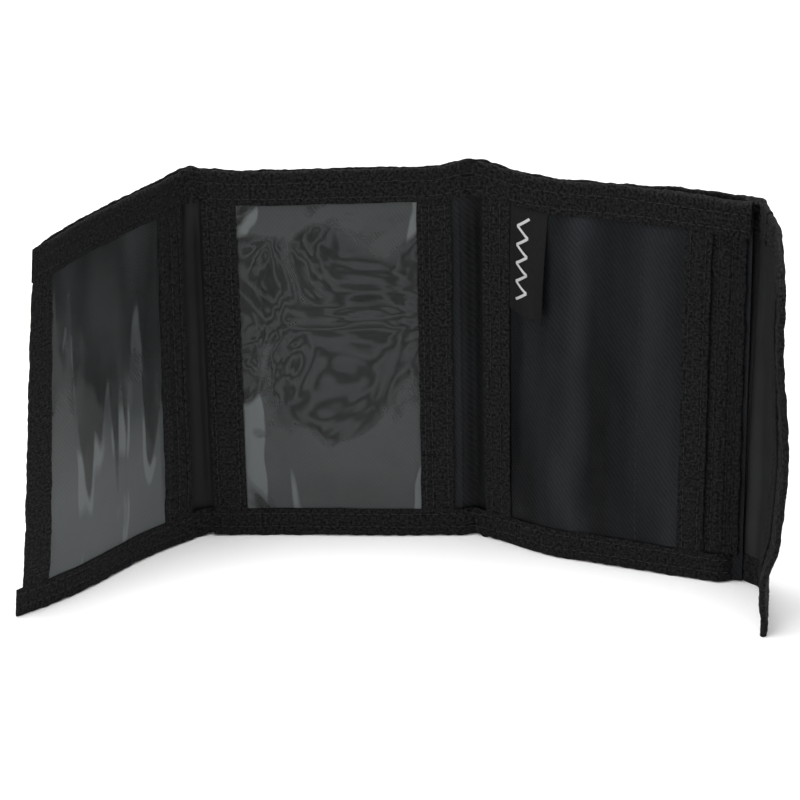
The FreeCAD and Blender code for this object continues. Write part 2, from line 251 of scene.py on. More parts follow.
def place(points):
    """Takes points of the flat layout (u, d, z) to where the cloth lies at rest."""
    u, d, z = (points[..., i] for i in range(3))
    x, y = u, Y_BACK - (squeeze(u, d, z) + drape(u, z) - gape(u, d, z))
    for at in (TIP, SIDE, RIGHT):
        x, y = hinge(x, y, at, -at.angle * ease((u - at.u + at.half) / (2 * at.half)))
    x, y = hinge(x, y, LEFT, LEFT.angle * ease((LEFT.u + LEFT.half - u) / (2 * LEFT.half)))
    return np.stack([x, y, z + lift(u, z)], -1)


def ripples(a, b, size, seed):
    """Smooth uneven waves from -1 to 1 over two lengths, about size from crest to crest."""
    waves = np.random.default_rng(seed)
    total = 0
    for _ in range(7):
        heading = waves.uniform(0, 2 * np.pi)
        scale, phase = waves.uniform(0.7, 1.7), waves.uniform(0, 6.3)
        line = a * np.cos(heading) + b * np.sin(heading)
        total = total + np.sin(2 * np.pi * line * scale / size + phase)
    return total / 4


# ---- meshes

CLOTH_STEP, FOLD_STEP, TAPE_STEP = 1.5 * MM, 0.6 * MM, 0.45 * MM
SHARP_CORNER = math.radians(55)


def finish_mesh(name, points, faces, uv, material):
    """A mesh piece from points of the flat layout, with uv in millimetres of cloth."""
    points = place(points)
    corners = points[faces]
    a, b, c, d = (corners[:, i] for i in range(4))
    if (a * (np.cross(b, c) + np.cross(c, d))).sum() < 0:
        faces = faces[:, ::-1]
    name = f"soft_{name}"
    mesh = bpy.data.meshes.new(name)
    mesh.from_pydata(points.tolist(), [], faces.tolist())
    layer = mesh.uv_layers.new(name="cloth")
    layer.data.foreach_set("uv", uv[faces.ravel()].astype(np.float32).ravel())
    mesh.shade_smooth()
    mesh.set_sharp_from_angle(angle=SHARP_CORNER)
    mesh.materials.append(material)
    return put_in_scene(name, mesh)


def grid_quads(rows, columns):
    start = np.arange(rows - 1)[:, None] * columns + np.arange(columns - 1)[None, :]
    start = start.ravel()
    return np.stack([start, start + 1, start + columns + 1, start + columns], -1)


def skin(name, outer, inner, uv, material):
    """A closed piece between two grids of points, joined all round their rims."""
    rows, columns = outer.shape[:2]
    count = rows * columns
    front = grid_quads(rows, columns)
    index = np.arange(count).reshape(rows, columns)
    rim = np.concatenate([index[0, :], index[1:, -1], index[-1, -2::-1], index[-2:0:-1, 0]])
    after = np.roll(rim, -1)
    sides = np.stack([after, rim, rim + count, after + count], -1)
    faces = np.concatenate([front, front[:, ::-1] + count, sides])
    points = np.concatenate([outer.reshape(-1, 3), inner.reshape(-1, 3)])
    uv = uv.reshape(-1, 2) / MM
    return finish_mesh(name, points, faces, np.concatenate([uv, uv]), material)


def steps(start, end, size):
    """Even steps of at most size from start to end."""
    return np.linspace(start, end, max(3, int(abs(end - start) / size) + 2))


def grid(lie, u_step, z_step=None):
    """Grids of u and z over a piece."""
    lines = steps(lie.u0, lie.u1, u_step), steps(lie.z0, lie.z1, z_step or u_step)
    return np.meshgrid(*lines, indexing="ij")


def joined(first, then):
    """Two runs of positions laid end to end."""
    return np.concatenate([first[:-1], then])


def cloth(name, u, z, lie, material, relief=None):
    """A flat piece of cloth as thick as lie, over the grids u and z."""
    raised = relief(u, z) if relief else 0
    face = np.stack([u, lie.d1 + raised + 0 * u, z], -1)
    back = np.stack([u, lie.d0 + raised + 0 * u, z], -1)
    return skin(name, face, back, np.stack([u, z], -1), material)


# A row of stitches is given by how far across its tape it runs.
STITCH, GROOVE, GROOVE_WIDE = 2.7 * MM, 0.44 * MM, 0.55 * MM
STITCH_STEP = STITCH / 5


def pulled(along):
    """How deep a row of stitches pulls a tape in: a groove, with a pit at each needle hole."""
    return GROOVE * (0.35 + 0.65 * (0.5 + 0.5 * np.cos(2 * np.pi * along / STITCH)) ** 3)


def uneven(along, across, swell, grain, seed):
    """The unevenness of a tape's face: swells of 5 mm and a grain of 2.2 mm."""
    slow = swell * MM * ripples(along, 0.6 * across, 5 * MM, seed)
    return slow + grain * MM * ripples(along, across, 2.2 * MM, seed + 1)


def flat_tape(name, lie, rows, seed):
    """A flat tape sewn on a face, running up the wallet. rows are its stitch rows."""
    u, z = grid(lie, TAPE_STEP, STITCH_STEP)
    across, width = u - lie.u0, lie.u1 - lie.u0
    raised = uneven(z, across, 0.13, 0.08, seed)
    for row in rows:
        raised = raised - pulled(z) * bump(across, row, GROOVE_WIDE)
    raised = raised - 0.12 * MM * bump(np.minimum(across, width - across), 0, 0.4 * MM)
    face = np.stack([u, lie.d1 + raised, z], -1)
    back = np.stack([u, lie.d0 + 0 * u, z], -1)
    return skin(name, face, back, np.stack([across, z], -1), TAPE)


def thread_mesh(name, stitches):
    """Short raised threads. A stitch is its middle (u, d, z), direction (du, dz) and face."""
    stitches = np.array(stitches, float)
    rings, sides = 6, 6
    t = np.linspace(-1, 1, rings)[None, :, None]
    phi = (np.arange(sides) * 2 * np.pi / sides)[None, None, :]
    u, d, z, du, dz, face = (stitches[:, i, None, None] for i in range(6))
    half, thick, bedded = 0.36 * STITCH, 0.17 * MM, 0.05 * MM
    girth = thick * np.sqrt(np.clip(1 - t**6, 0.12, 1))
    arch = 0.10 * MM * (1 - t**2) - bedded
    side, out = girth * np.cos(phi), girth * np.sin(phi) * 0.8 + arch
    across, up = u + half * t * du - side * dz, z + half * t * dz + side * du
    points = np.stack([across, d + face * out, up], -1)
    ring = np.arange(rings - 1)[:, None] * sides
    spoke = np.arange(sides)[None, :]
    after = (spoke + 1) % sides
    one = np.stack([ring + spoke, ring + after, ring + sides + after, ring + sides + spoke], -1)
    one = one.reshape(-1, 4)
    caps = np.array([[0, 1, 2, 3], [0, 3, 4, 5]])
    last = (rings - 1) * sides
    one = np.concatenate([one, caps[:, ::-1], caps + last])
    faces = (one[None] + (np.arange(len(stitches)) * rings * sides)[:, None, None]).reshape(-1, 4)
    flat = points.reshape(-1, 3)
    return finish_mesh(name, flat, faces, flat[:, [0, 2]] / MM, THREAD)


# ---- tapes folded round an edge


class Route:
    """The line that an edge runs along, in u and z, with the direction into the cloth."""

    def __init__(self, line, inward):
        self.line = np.array(line, float)
        self.inward = np.broadcast_to(np.array(inward, float), self.line.shape)
        run = np.linalg.norm(np.diff(self.line, axis=0), axis=1)
        self.along = np.concatenate([[0], np.cumsum(run)]) + self.line[0, 0]

    def at(self, along):
        return [np.interp(along, self.along, c) for c in (*self.line.T, *self.inward.T)]


def level_route(u0, u1, z, inward):
    u = steps(u0, u1, STITCH_STEP)
    return Route(np.stack([u, 0 * u + z], -1), (0, inward))


def upright_route(u, z0, z1, inward):
    z = steps(z0, z1, STITCH_STEP)
    return Route(np.stack([0 * z + u, z], -1), (inward, 0))


def crease(u):
    """The depth of the sharp creases on the inside of the two main folds."""
    left = 1.2 * bump(u, LEFT.u + 2.0 * MM, 0.8 * MM)
    return MM * (left + 1.4 * bump(u, RIGHT.u, 1.1 * MM))


def pinch(u, across):
    """Puckers in a binding where the wallet folds."""
    crushed = bump(u, LEFT.u, 6.5 * MM) + bump(u, RIGHT.u, 5.5 * MM)
    crushed = crushed + 0.6 * bump(u, SIDE.u, 4 * MM)
    return 0.48 * MM * crushed * ripples(u, across, 3.0 * MM, 91)


def binding(name, route, d0, d1, width, rows, seed, thick=0.5 * MM, creased=False):
    """A tape folded round an edge, from the outside at depth d0 to the inside at depth d1."""
    count = len(route.along)
    d0, d1 = (np.broadcast_to(np.asarray(d, float), (count,))[:, None] for d in (d0, d1))
    r = np.minimum(1.5 * MM, (d1 - d0) / 2 - 0.02 * MM)
    leg = steps(1, 0, TAPE_STEP / width)[None, :]
    turn = np.linspace(0, np.pi / 2, 6)[None, 1:]
    sin, cos, flat = np.sin(turn), np.cos(turn), 0 * leg
    w = [r + (width - r) * leg, r - r * sin, r - r * cos, r + (width - r) * (1 - leg)]
    d = [d0 + flat, d0 + r - r * cos, d1 - r + r * sin, d1 + flat]
    w_out = [flat - 0 * r, -sin - 0 * r, -cos - 0 * r, flat - 0 * r]
    d_out = [flat - 1 - 0 * r, -cos - 0 * r, sin - 0 * r, flat + 1 - 0 * r]
    w, d, w_out, d_out = (np.concatenate(part, 1) for part in (w, d, w_out, d_out))
    run = np.hypot(np.diff(w[0]), np.diff(d[0]))
    path = np.concatenate([[0], np.cumsum(run)])[None, :] + 0 * w
    along = route.along[:, None] + 0 * w
    on_leg = ease((w - 0.8 * MM) / MM)
    height = uneven(along, path, 0.16, 0.09, seed)
    for row in rows:
        height = height - pulled(along) * bump(w, row, GROOVE_WIDE) * on_leg
    height = height - 0.14 * MM * bump(w, width, 0.4 * MM)
    u_line, z_line = route.line[:, 0][:, None], route.line[:, 1][:, None]
    height = height + pinch(u_line, path)
    if creased:
        height = height - crease(u_line) * ease((d - (d0 + d1) / 2) / MM)
    wobble = 0.22 * MM * ripples(along, 0 * along, 15 * MM, seed + 2)

    def points(raise_by):
        inward = w + w_out * raise_by + wobble
        in_u, in_z = route.inward[:, 0][:, None], route.inward[:, 1][:, None]
        u, z = u_line + in_u * inward, z_line + in_z * inward
        return np.stack([u, d + d_out * raise_by, z], -1)

    uv = np.stack([path, along], -1)
    return skin(name, points(height), points(height - thick), uv, TAPE)


def route_stitches(route, across, depth, side, seed, sewn=None):
    """Stitches along a route, across from its edge. side is 1 on the inside, -1 outside."""
    loose = np.random.default_rng(seed)
    low, high = sewn or (route.along[0], route.along[-1])
    middles = np.arange(math.ceil(low / STITCH), high / STITCH) * STITCH + STITCH / 2
    middles = middles[(middles > low) & (middles < high)]
    made = []
    for m in middles:
        u, z, in_u, in_z = route.at(m)
        lean, w = loose.normal(0, 0.05), across + loose.normal(0, 0.06 * MM)
        du, dz = in_z + lean * in_u, -in_u + lean * in_z
        d = np.interp(m, route.along, np.broadcast_to(depth, route.along.shape))
        made.append((u + in_u * w, d, z + in_z * w, du, dz, side))
    return made


# ---- materials


def fill(node, numbers):
    for socket, number in numbers.items():
        node.inputs[socket].default_value = number


class Paint:
    """A node material whose patterns lie along the cloth, in millimetres of it."""

    def __init__(self, name, roughness, specular, sheen=0.0, sheen_tint=(1, 1, 1)):
        self.material = bpy.data.materials.new(name)
        self.material.use_nodes = True
        self.nodes, self.links = self.material.node_tree.nodes, self.material.node_tree.links
        self.shader = self.nodes["Principled BSDF"]
        fill(self.shader, {"Roughness": roughness, "Specular IOR Level": specular})
        fill(self.shader, {"Sheen Weight": sheen, "Sheen Roughness": 0.45})
        fill(self.shader, {"Sheen Tint": (*sheen_tint, 1)})
        self.uv = self.nodes.new("ShaderNodeUVMap")
        self.uv.uv_map = "cloth"
        split = self.nodes.new("ShaderNodeSeparateXYZ")
        self.links.new(self.uv.outputs[0], split.inputs[0])
        self.x, self.y = split.outputs[0], split.outputs[1]

    def put(self, value, socket):
        if hasattr(value, "links"):
            self.links.new(value, socket)
        else:
            socket.default_value = value

    def math(self, operation, a, b=0.0, c=0.0):
        made = self.nodes.new("ShaderNodeMath")
        made.operation = operation
        for value, socket in zip((a, b, c), made.inputs):
            self.put(value, socket)
        return made.outputs[0]

    def times(self, a, b):
        return self.math("MULTIPLY", a, b)

    def plus(self, a, b):
        return self.math("ADD", a, b)

    def total(self, *weighted):
        """The sum of patterns, each given with its weight."""
        made = 0.0
        for value, weight in reversed(weighted):
            made = self.math("MULTIPLY_ADD", value, weight, made)
        return made

    def wave(self, across_x, across_y, pitch, nudge=0.0):
        """From 0 to 1 and back once each pitch, along (across_x, across_y)."""
        line = self.plus(self.total((self.x, across_x), (self.y, across_y)), nudge)
        turn = self.math("SINE", self.times(line, 2 * math.pi / pitch))
        return self.math("MULTIPLY_ADD", turn, 0.5, 0.5)

    def noise(self, size, detail=2.0, stretch=(1, 1), twist=0.0):
        """Uneven patches of about size millimetres, from 0 to 1."""
        scale = self.nodes.new("ShaderNodeMapping")
        fill(scale, {"Scale": (stretch[0] / size, stretch[1] / size, 1)})
        self.links.new(self.uv.outputs[0], scale.inputs["Vector"])
        made = self.nodes.new("ShaderNodeTexNoise")
        fill(made, {"Scale": 1.0, "Detail": detail, "Distortion": twist})
        self.links.new(scale.outputs[0], made.inputs["Vector"])
        return made.outputs["Fac"]

    def spread(self, value, low, high, to_low, to_high):
        """value taken from one range onto another."""
        made = self.nodes.new("ShaderNodeMapRange")
        for socket, number in zip(made.inputs, (value, low, high, to_low, to_high)):
            self.put(number, socket)
        return made.outputs[0]

    def ridge(self, offset, core, reach, height):
        """height where offset is within core of 0, falling to 0 at reach."""
        return self.spread(self.math("ABSOLUTE", offset), core, reach, height, 0.0)

    def blend(self, share, dark, light, way="MIX"):
        made = self.nodes.new("ShaderNodeMix")
        made.data_type, made.blend_type = "RGBA", way
        for value, socket in ((share, "Factor"), (dark, "A"), (light, "B")):
            self.put(value, made.inputs[socket])
        return made.outputs["Result"]

    def dress(self, colour, roughness, height, depth_mm):
        """Joins the patterns to the shader, with a relief of depth_mm."""
        made = self.nodes.new("ShaderNodeBump")
        fill(made, {"Strength": 1.0, "Distance": depth_mm * MM})
        self.links.new(height, made.inputs["Height"])
        self.links.new(made.outputs[0], self.shader.inputs["Normal"])
        self.links.new(colour, self.shader.inputs["Base Color"])
        self.links.new(roughness, self.shader.inputs["Roughness"])
        return self.material


def grey(level, blue=0.0):
    return (level, level * (1 + blue * 0.4), level * (1 + blue), 1)


def make_twill():
    """Nylon twill with a steep diagonal line, and a bluish shine along its upright folds that is
    painted into its colour.
    """
    p = Paint("pocket_twill", 0.42, 0.07, sheen=0.006, sheen_tint=(0.75, 0.85, 1.0))
    line = p.wave(0.82, 0.57, 1.2, p.noise(3, 1))
    yarn = p.wave(-0.3, 0.95, 0.9)
    slub = p.noise(1.0, 3, (1, 0.5))
    height = p.total((line, 0.7), (yarn, 0.3), (slub, 0.7))
    # Painted sheen where the folds shine, along x: beside the label, in the slip pocket, and by the
    # outer tapes.
    label_fold, wander, slip_fold, outer_start, outer_end = 81.0, 14.0, 38.5, 92, 106
    from_label = p.math("MULTIPLY_ADD", p.noise(30, 1, (0.3, 1)), wander, -label_fold)
    beside_label = p.ridge(p.plus(p.x, from_label), 1.0, 6.5, 0.45)
    in_slip = p.ridge(p.plus(p.x, -slip_fold), 0.5, 4.0, 0.30)
    outer = p.plus(in_slip, p.spread(p.x, outer_start, outer_end, 0.0, 0.20))
    # Long upright bands of painted sheen.
    sheen_streaks = p.spread(p.noise(19, 2, (1, 0.13)), 0.42, 0.66, 0.0, 0.40)
    # All the painted sheen, highlights and bands, lightens the colour's share.
    painted_sheen = p.plus(p.plus(beside_label, outer), sheen_streaks)
    grain = p.times(p.plus(line, slub), 0.3)
    share = p.total((painted_sheen, p.plus(grain, 0.7)), (grain, 0.4))
    colour = p.blend(share, grey(0.0008, 0.2), grey(0.0200, 0.25))
    rough = p.spread(p.noise(5, 3), 0.2, 0.8, 0.40, 0.54)
    return p.dress(colour, rough, height, 0.09)


def make_nylon():
    """Plain-woven pack cloth: a small basket of over and under yarns."""
    p = Paint("shell_nylon", 0.55, 0.12, sheen=0.02)
    yarn = 1.3
    over = p.times(p.wave(1, 0, yarn), p.wave(0, 1, yarn))
    under = p.times(p.wave(1, 0, yarn, yarn / 2), p.wave(0, 1, yarn, yarn / 2))
    weave = p.math("MAXIMUM", over, under)
    height = p.math("MULTIPLY_ADD", p.noise(1.0, 3), 0.35, weave)
    shade = p.total((weave, 0.75), (p.noise(17, 3), 0.25))
    colour = p.blend(shade, grey(0.0015), grey(0.0170, 0.12))
    rough = p.spread(p.noise(9, 2), 0.2, 0.8, 0.55, 0.64)
    return p.dress(colour, rough, height, 0.13)


def make_lining(name, dark, light):
    """Coated lining cloth, nearly smooth, with a faint grain under the coating."""
    p = Paint(name, 0.5, 0.12)
    weave = p.times(p.wave(1, 0, 0.34), p.wave(0, 1, 0.34))
    wrinkle = p.noise(7, 4, (1, 0.35))
    height = p.total((wrinkle, 1.6), (weave, 0.15))
    colour = p.blend(p.noise(9, 3), grey(dark), grey(light, 0.08))
    rough = p.spread(wrinkle, 0.3, 0.7, 0.42, 0.60)
    return p.dress(colour, rough, height, 0.06)


def make_tape():
    """Woven binding tape: fine cross ribs, broken up by a fuzzy grain."""
    p = Paint("binding_tape", 0.75, 0.06, sheen=0.012)
    rib = p.wave(0, 1, 0.9, p.noise(2, 1))
    grain = p.noise(0.85, 3)
    fuzz = p.noise(0.4, 2)
    height = p.total((rib, 0.35), (grain, 1.5), (fuzz, 0.5))
    shade = p.spread(grain, 0.36, 0.68, 0.0, 1.0)
    shade = p.times(shade, p.spread(fuzz, 0.3, 0.6, 0.5, 1.0))
    colour = p.blend(shade, grey(0.0018), grey(0.0210, 0.04))
    rough = p.spread(p.noise(3, 3), 0.2, 0.8, 0.66, 0.86)
    return p.dress(colour, rough, height, 0.14)


def finish_yarn(p, pattern, share, patches, dark, light, rough, depth_mm):
    """Finishes a material whose shade follows its yarn, by that share, and uneven patches."""
    shade = p.total((pattern, share), (patches, 1 - share))
    return p.dress(p.blend(shade, grey(dark), grey(light)), rough, pattern, depth_mm)


def make_thread():
    """Bonded sewing thread with its twist."""
    p = Paint("sewing_thread", 0.5, 0.16, sheen=0.015)
    twist = p.wave(0.7, 0.7, 0.42)
    rough = p.spread(twist, 0, 1, 0.42, 0.62)
    return finish_yarn(p, twist, 0.6, p.noise(2), 0.004, 0.018, rough, 0.04)


def make_label():
    """Woven satin label ground."""
    p = Paint("label_weave", 0.6, 0.08, sheen=0.015)
    weft = p.times(p.wave(0, 1, 0.24), p.wave(1, 0.2, 0.5))
    rough = p.spread(p.noise(2.5, 2), 0.2, 0.8, 0.5, 0.7)
    return finish_yarn(p, weft, 0.5, p.noise(1.4, 3), 0.005, 0.013, rough, 0.04)


def make_mark():
    """White weft floated to the label's face."""
    p = Paint("label_mark", 0.55, 0.3, sheen=0.1)
    weft = p.wave(0, 1, 0.22)
    rough = p.spread(weft, 0, 1, 0.5, 0.7)
    return finish_yarn(p, weft, 0.6, p.noise(0.8, 3), 0.34, 0.66, rough, 0.05)


def make_fuzz(name, size, light):
    """Hook or loop fastening, as a close pile."""
    p = Paint(name, 0.8, 0.06, sheen=0.012)
    pile = p.noise(size, 4)
    row = p.wave(1, 0, 1.3)
    height = p.math("MULTIPLY_ADD", row, 0.4, pile)
    colour = p.blend(p.spread(pile, 0.35, 0.7, 0, 1), grey(0.002), grey(light))
    rough = p.spread(pile, 0.3, 0.7, 0.7, 0.9)
    return p.dress(colour, rough, height, 0.35)


FILM_SHARE = 0.9
FILM_SPECULAR = 0.18


def film(p, reflection_share, rough):
    """Finishes a window's material, with a pale reflection painted into its colour, by the share
    given, over the dark cloth behind the film.
    """
    scuff = p.noise(5, 2, (1, 0.6))
    weave = p.times(p.wave(0.82, 0.57, 1.0), p.noise(2.0, 2))
    dark = p.blend(weave, grey(0.004, 0.05), grey(0.014, 0.10))
    # A pale painted reflection, added over the dark cloth.
    painted_reflection = p.blend(reflection_share, grey(0), (0.105, 0.115, 0.117, 1))
    shine = p.spread(scuff, 0.3, 0.75, rough, rough + 0.06)
    p.dress(p.blend(1.0, dark, painted_reflection, "ADD"), shine, scuff, 0.08)
    clear = p.nodes.new("ShaderNodeBsdfTransparent")
    fill(clear, {"Color": (0.93, 0.95, 0.96, 1)})
    mix = p.nodes.new("ShaderNodeMixShader")
    fill(mix, {"Fac": FILM_SHARE})
    p.links.new(clear.outputs[0], mix.inputs[1])
    p.links.new(p.shader.outputs[0], mix.inputs[2])
    p.links.new(mix.outputs[0], p.nodes["Material Output"].inputs["Surface"])
    return p.material


def make_clinging_film():
    """The centre window: film that clings to the cloth behind it in wandering, ringed patches,
    which show as gaps in the reflection painted into its colour.
    """
    p = Paint("window_film_centre", 0.2, FILM_SPECULAR)
    ring_count, cling, threshold = 75, 0.24, 0.57
    rings = p.math("SINE", p.times(p.noise(30, 3.0, (1, 1), 1.4), ring_count))
    rings = p.spread(rings, -0.8, 0.8, 0, 1)
    # The film clings between its foot and its top, and lifts along its sides, where a pale
    # reflection is painted into its colour.
    middle = p.times(p.spread(p.y, 30, 52, 0, 1), p.spread(p.y, 118, 92, 0, 1))
    patch = p.math("MULTIPLY_ADD", middle, cling, p.noise(30, 2.5, (1, 1), 0.8))
    patch = p.spread(patch, threshold, threshold + 0.08, 0, 1)
    stuck = p.times(patch, p.math("MULTIPLY_ADD", rings, 0.62, 0.38))
    left_side, right_side = p.spread(p.x, -28.5, -21, 0.34, 0), p.spread(p.x, 22, 27, 0, 0.20)
    lifted = p.plus(p.noise(21, 1.5, (1.3, 0.5), 0.5), p.plus(left_side, right_side))
    painted_reflection = p.spread(lifted, 0.66, 0.69, 0, 0.85)
    # A dim, uneven painted reflection over the whole film, fading where it clings.
    uneven_reflection = p.spread(p.noise(26, 3, (1, 0.6), 0.6), 0.35, 0.7, 0.00, 0.05)
    faint_reflection = p.plus(uneven_reflection, p.spread(stuck, 0, 1, 0.35, 0.0))
    return film(p, p.math("MULTIPLY_ADD", p.math("SUBTRACT", 1.0, patch), painted_reflection, faint_reflection), 0.18)


def make_hanging_film():
    """The left window: film that clings in long fingers from its top, with a reflection painted
    into its colour: glints along the creases at the fingers' edges, and more where it hangs loose.
    """
    p = Paint("window_film_left", 0.2, FILM_SPECULAR)
    finger_length, level = 250.0, 158.0
    slope = p.math("MULTIPLY_ADD", p.x, 0.35, p.y)
    reach = p.math("MULTIPLY_ADD", p.noise(10, 1.0, (1, 0.07), 0.3), finger_length, slope)
    past = p.math("SUBTRACT", reach, level)
    stuck = p.spread(past, -4.0, 4.0, 0, 1)
    broken = p.spread(p.noise(14, 1, (1, 0.5)), 0.46, 0.62, 0, 1)
    # Painted glints along the creases, broken in places.
    crease_glint = p.times(p.ridge(p.plus(past, 8.0), 2.0, 9.0, 1), broken)
    # Painted reflection: stronger where the film hangs loose, most towards its foot, and patchy
    # where it clings.
    loose_reflection = p.spread(p.y, 75, 35, 0.30, 0.60)
    stuck_reflection = p.spread(p.noise(16, 2, (1, 0.3)), 0.35, 0.65, 0.10, 0.28)
    loose = p.math("SUBTRACT", 1.0, stuck)
    return film(p, p.total((crease_glint, 0.9), (loose, loose_reflection), (stuck, stuck_reflection)), 0.15)


TWILL, NYLON, TAPE, THREAD = make_twill(), make_nylon(), make_tape(), make_thread()
LINING = make_lining("smooth_lining", 0.0055, 0.0105)
# The flap's lining is the same cloth as the rest, with a lighter copy of its colour: painted light
# for the flap, which catches more light.
FLAP_LINING_PAINTED_LIGHTER = make_lining("flap_lining", 0.0120, 0.0190)
LABEL, MARK = make_label(), make_mark()
CLINGING, HANGING = make_clinging_film(), make_hanging_film()
HOOKS, LOOPS = make_fuzz("hook_fastening", 0.5, 0.014), make_fuzz("loop_fastening", 0.9, 0.011)

# ---- how pieces move

FOLDS = {"left_fold": LEFT, "right_fold": RIGHT, "flap_fold": SIDE, "flap_tip_fold": TIP}


def settle(piece, group, *nodes):
    """group is a body that the piece rides on, or a joint that it lies across; such a piece is
    baked where it lies and rides on no body.
    """
    if group in FOLDS:
        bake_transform(piece)
    else:
        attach(piece, group)
        if group == "left_panel":
            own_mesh(piece)
    if nodes:
        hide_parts(*nodes)


threads = {group: [] for group in ("left_panel", "centre_panel", "right_panel", *FOLDS)}

# ---- shell and linings

CLOTH = span("outer_shell_centre")
CUT = (span("window_mouth_tape_centre").u0 + span("window_mouth_tape_centre").u1) / 2
RIGHT_MIDDLE = (span("outer_shell_right").u0 + span("outer_shell_right").u1) / 2
CORNER_U, CORNER_Z = SIDE.u + SIDE.half, HEIGHT - 21 * MM
CORNER_WIDE, CORNER_TALL = FLAP_END - CORNER_U, HEIGHT - CORNER_Z


def flap_top(u):
    """The height of the flap's edge: level, then round its large top corner."""
    across = np.clip((u - CORNER_U) / CORNER_WIDE, 0, 1)
    return CORNER_Z + CORNER_TALL * np.sqrt(1 - across**2)


def shell_relief(u, z):
    edge = ease((z - 8 * MM) / (8 * MM)) * ease((HEIGHT - 8 * MM - z) / (8 * MM))
    return 0.22 * MM * ripples(u, z, 34 * MM, 11) * edge


def flap_line(u0, u1):
    """Points along the flap, closer together towards its tip, where the corner is steep."""
    turn = [math.acos(np.clip((u - CORNER_U) / CORNER_WIDE, 0, 1)) for u in (u0, u1)]
    return CORNER_U + CORNER_WIDE * np.cos(steps(turn[0], turn[1], 0.03))


def over_fold(start, at, end):
    """Positions across a fold, close together there, and on to end."""
    past = at.u + 4 * MM
    return joined(steps(start, past, FOLD_STEP), steps(past, end, CLOTH_STEP))


# A long layer is made in five parts. All but the left one lie bent across a joint, and stand for
# the CAD's strip in that fold too.
PARTS = {
    "left": ("left_panel", None),
    "centre": ("left_fold", "left"),
    "right": ("right_fold", "right"),
    "flap_side": ("flap_fold", "flap_side"),
    "flap_tip": ("flap_tip_fold", "flap_tip"),
}


def stood_for(layer, part, strips=None):
    """The CAD nodes that one part of a long layer replaces."""
    fold_name = PARTS[part][1]
    strip = [f"{strips or layer + '_fold'}_{fold_name}"] if fold_name else []
    return strip + [f"{layer}_{part}"]


def add_leaf(layer, part, u_line, lie, material, slot, relief, nodes, rests_on):
    """One part of a leaf of cloth over the whole height, whose top follows the flap's corner."""
    trim = HEIGHT - CLOTH.z1
    share = steps(0, 1, CLOTH_STEP / HEIGHT)[None, :]
    u = u_line[:, None] + 0 * share
    top = np.where(u > CORNER_U, flap_top(u + trim) - trim, lie.z1)
    z = lie.z0 + (top - lie.z0) * share
    piece = cloth(f"{layer}_{part}", u, z, lie, material, relief)
    settle(piece, PARTS[part][0], *nodes)


LEFT_SEAM = LEFT.u - LEFT.half
TIP_LINE = flap_line(SIDE_MIDDLE, FLAP_END - 0.5 * MM)
shell_lines = {
    "left": steps(span("outer_shell_left").u0, LEFT_SEAM, CLOTH_STEP),
    "centre": over_fold(LEFT_SEAM, LEFT, CUT),
    "right": over_fold(CUT, RIGHT, RIGHT_MIDDLE),
    "flap_side": joined(steps(RIGHT_MIDDLE, CORNER_U, MM), flap_line(CORNER_U, SIDE_MIDDLE)),
    "flap_tip": TIP_LINE,
}
for part, u_line in shell_lines.items():
    nodes = stood_for("outer_shell", part, "shell_fold")
    look = NYLON, "shell_nylon", shell_relief
    add_leaf("shell", part, u_line, CLOTH, *look, nodes, "bottom_binding_centre")


def lining_relief(u, z):
    return shell_relief(u, z) * np.where(u < SIDE.u - 2 * SIDE.half, 0.6, 1.0) - 0.8 * crease(u)


LINING_LIE, FLAP_LINING_LIE = span("lining_centre"), span("lining_flap_side")
side_line = joined(steps(SIDE.u - SIDE.half, CORNER_U, 0.4 * MM), flap_line(CORNER_U, SIDE_MIDDLE))
lining_pieces = {
    "left": (steps(LEFT_END + 0.5 * MM, LEFT_SEAM, CLOTH_STEP), LINING_LIE, LINING),
    "centre": (over_fold(LEFT_SEAM, LEFT, CUT), LINING_LIE, LINING),
    "right": (over_fold(CUT, RIGHT, span("lining_right").u1), LINING_LIE, TWILL),
    "flap_side": (side_line, FLAP_LINING_LIE, FLAP_LINING_PAINTED_LIGHTER),
    "flap_tip": (TIP_LINE, FLAP_LINING_LIE, FLAP_LINING_PAINTED_LIGHTER),
}
for part, (u_line, lie, material) in lining_pieces.items():
    nodes = stood_for("lining", part)
    look = material, "pocket_twill" if material is TWILL else "smooth_lining", lining_relief
    add_leaf("lining", part, u_line, lie, *look, nodes, "outer_shell_centre")

# ---- bindings round the edges

BACK_TOP, FRONT_TOP = span("back_top_binding_centre"), span("front_top_binding_centre")
BOTTOM, FLAP_EDGE = span("bottom_binding_centre"), span("edge_binding_flap_tip")
EDGE = span("edge_binding_left")
TOP_WIDTH, BOTTOM_WIDTH = BACK_TOP.z1 - BACK_TOP.z0, BOTTOM.z1 - BOTTOM.z0
# faces are the sides of a binding that are sewn: -1 outside, 1 inside.
Tape = namedtuple("Tape", "width rows seed faces")
BACK_TAPE = Tape(TOP_WIDTH, (3.9 * MM, 8.9 * MM), 21, (-1,))
FRONT_TAPE = BACK_TAPE._replace(seed=22, faces=(1,))
FLAP_TOP_TAPE = BACK_TAPE._replace(faces=(-1, 1))
BOTTOM_TAPE = Tape(BOTTOM_WIDTH, (3.4 * MM, 7.8 * MM), 23, (-1, 1))
FLAP_EDGE_TAPE = Tape(FLAP_EDGE.u1 - FLAP_EDGE.u0, (3.2 * MM, 7.3 * MM), 24, (-1, 1))
LEFT_EDGE_TAPE = Tape(EDGE.u1 - EDGE.u0, (3.4 * MM, 7.4 * MM), 25, (-1, 1))


